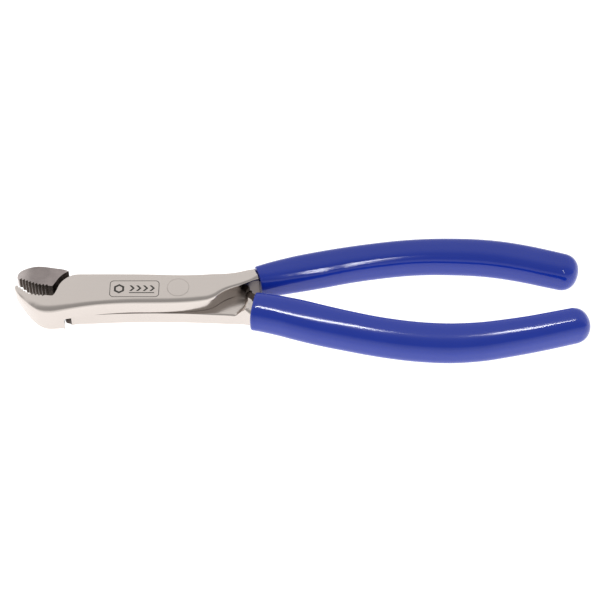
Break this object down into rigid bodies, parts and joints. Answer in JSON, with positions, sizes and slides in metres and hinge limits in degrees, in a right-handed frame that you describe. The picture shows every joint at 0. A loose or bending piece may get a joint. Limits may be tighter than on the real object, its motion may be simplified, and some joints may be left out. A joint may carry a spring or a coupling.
{
  "type": "pliers",
  "caption": "Long-nosed holding pliers with a hooked toothed lower jaw, a lapped bar joint on a flush rivet and dipped vinyl grips.",
  "frame": {"origin": "on the rivet axis, at the flat back face of the joint", "axes": "+X runs along the tool to the handle ends, the jaws point to -X; +Y is the way the jaws and handles open; +Z is the rivet axis, out of the front face"},
  "size_m": [0.2107, 0.0545, 0.0126],
  "materials": {
    "steel": "satin",
    "rivet_steel": "satin",
    "vinyl": "gloss"
  },
  "bodies": {
    "rear": {"rear_lever": "steel", "pivot_rivet": "rivet_steel", "lower_grip": "vinyl"},
    "front": {"front_lever": "steel", "upper_grip": "vinyl"}
  },
  "joints": [
    {"name": "pivot", "type": "hinge", "parent": "rear", "child": "front", "pos_m": [0, 0, 0], "axis": [0, 0, 1], "range_deg": [-3.6, 15]}
  ]
}
